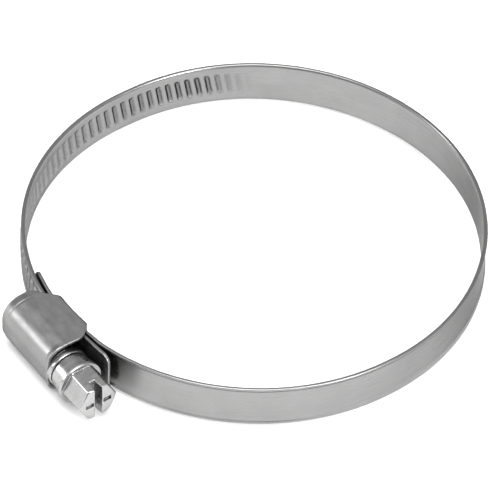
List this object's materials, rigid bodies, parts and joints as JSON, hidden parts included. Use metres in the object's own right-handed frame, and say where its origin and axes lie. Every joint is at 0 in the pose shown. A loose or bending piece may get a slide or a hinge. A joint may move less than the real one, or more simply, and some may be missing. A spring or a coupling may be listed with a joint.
{
  "type": "hose clamp",
  "caption": "Worm-drive hose clamp: a thin steel band with raised teeth runs through a housing, where a slotted hexagon screw draws it tight.",
  "frame": {"origin": "centre of the hose circle at the middle of the band's width, with the clamp fully open", "axes": "+Z along the hose; -Y towards the housing; +X along the screw, towards its head"},
  "size_m": [0.0851, 0.0944, 0.0108],
  "materials": {
    "band": "rolled, lightly brushed",
    "housing": "pressed sheet, satin",
    "screw": "plated, bright"
  },
  "bodies": {
    "base": {"housing": "housing", "band_fixed_end": "band"},
    "screw": {"worm_screw": "screw"},
    "link_01": {"band_link_01": "band"},
    "link_02": {"band_link_02": "band"},
    "link_03": {"band_link_03": "band"},
    "link_04": {"band_link_04": "band"},
    "link_05": {"band_link_05": "band"},
    "link_06": {"band_link_06": "band"},
    "link_07": {"band_link_07": "band"},
    "link_08": {"band_link_08": "band"},
    "link_09": {"band_link_09": "band"},
    "link_10": {"band_link_10": "band"},
    "link_11": {"band_link_11": "band"},
    "tail": {"band_tail": "band"}
  },
  "joints": [
    {"name": "screw_turn", "type": "hinge", "parent": "base", "child": "screw", "pos_m": [0, -0.04747, 0], "axis": [-1, 0, 0], "range_deg": [0, 4320]},
    {"name": "link_01_bend", "type": "hinge", "parent": "base", "child": "link_01", "pos_m": [0.01004, -0.04092, 0], "axis": [0, 0, 1], "range_deg": [0, 3.41]},
    {"name": "link_02_bend", "type": "hinge", "parent": "link_01", "child": "link_02", "pos_m": [0.03035, -0.02895, 0], "axis": [0, 0, 1], "range_deg": [0, 3.11]},
    {"name": "link_03_bend", "type": "hinge", "parent": "link_02", "child": "link_03", "pos_m": [0.04087, -0.00786, 0], "axis": [0, 0, 1], "range_deg": [0, 2.72]},
    {"name": "link_04_bend", "type": "hinge", "parent": "link_03", "child": "link_04", "pos_m": [0.0382, 0.01622, 0], "axis": [0, 0, 1], "range_deg": [0, 3.4]},
    {"name": "link_05_bend", "type": "hinge", "parent": "link_04", "child": "link_05", "pos_m": [0.02321, 0.03441, 0], "axis": [0, 0, 1], "range_deg": [0, 3.84]},
    {"name": "link_06_bend", "type": "hinge", "parent": "link_05", "child": "link_06", "pos_m": [0.00072, 0.04149, 0], "axis": [0, 0, 1], "range_deg": [0, 3.39]},
    {"name": "link_07_bend", "type": "hinge", "parent": "link_06", "child": "link_07", "pos_m": [-0.02199, 0.03519, 0], "axis": [0, 0, 1], "range_deg": [0, 2.5]},
    {"name": "link_08_bend", "type": "hinge", "parent": "link_07", "child": "link_08", "pos_m": [-0.03761, 0.01754, 0], "axis": [0, 0, 1], "range_deg": [0, 2.4]},
    {"name": "link_09_bend", "type": "hinge", "parent": "link_08", "child": "link_09", "pos_m": [-0.0411, -0.0074, 0], "axis": [0, 0, 1], "range_deg": [0, 3.52]},
    {"name": "link_10_bend", "type": "hinge", "parent": "link_09", "child": "link_10", "pos_m": [-0.03357, -0.02601, 0], "axis": [0, 0, 1], "range_deg": [0, 4.06]},
    {"name": "link_11_bend", "type": "hinge", "parent": "link_10", "child": "link_11", "pos_m": [-0.02012, -0.03792, 0], "axis": [0, 0, 1], "range_deg": [0, 0.774]},
    {"name": "tail_bend", "type": "hinge", "parent": "link_11", "child": "tail", "pos_m": [-0.00289, -0.04302, 0], "axis": [0, 0, 1], "range_deg": [0, 1.2]}
  ],
  "couplings": [
    {"joint": "link_01_bend", "follows": "screw_turn", "ratio": 0.00078745},
    {"joint": "link_02_bend", "follows": "screw_turn", "ratio": 0.00071736},
    {"joint": "link_03_bend", "follows": "screw_turn", "ratio": 0.00062664},
    {"joint": "link_04_bend", "follows": "screw_turn", "ratio": 0.00078435},
    {"joint": "link_05_bend", "follows": "screw_turn", "ratio": 0.00088618},
    {"joint": "link_06_bend", "follows": "screw_turn", "ratio": 0.00078342},
    {"joint": "link_07_bend", "follows": "screw_turn", "ratio": 0.00057633},
    {"joint": "link_08_bend", "follows": "screw_turn", "ratio": 0.00055199},
    {"joint": "link_09_bend", "follows": "screw_turn", "ratio": 0.00081359},
    {"joint": "link_10_bend", "follows": "screw_turn", "ratio": 0.00093813},
    {"joint": "link_11_bend", "follows": "screw_turn", "ratio": 0.00017678},
    {"joint": "tail_bend", "follows": "screw_turn", "ratio": 0.00027489}
  ]
}
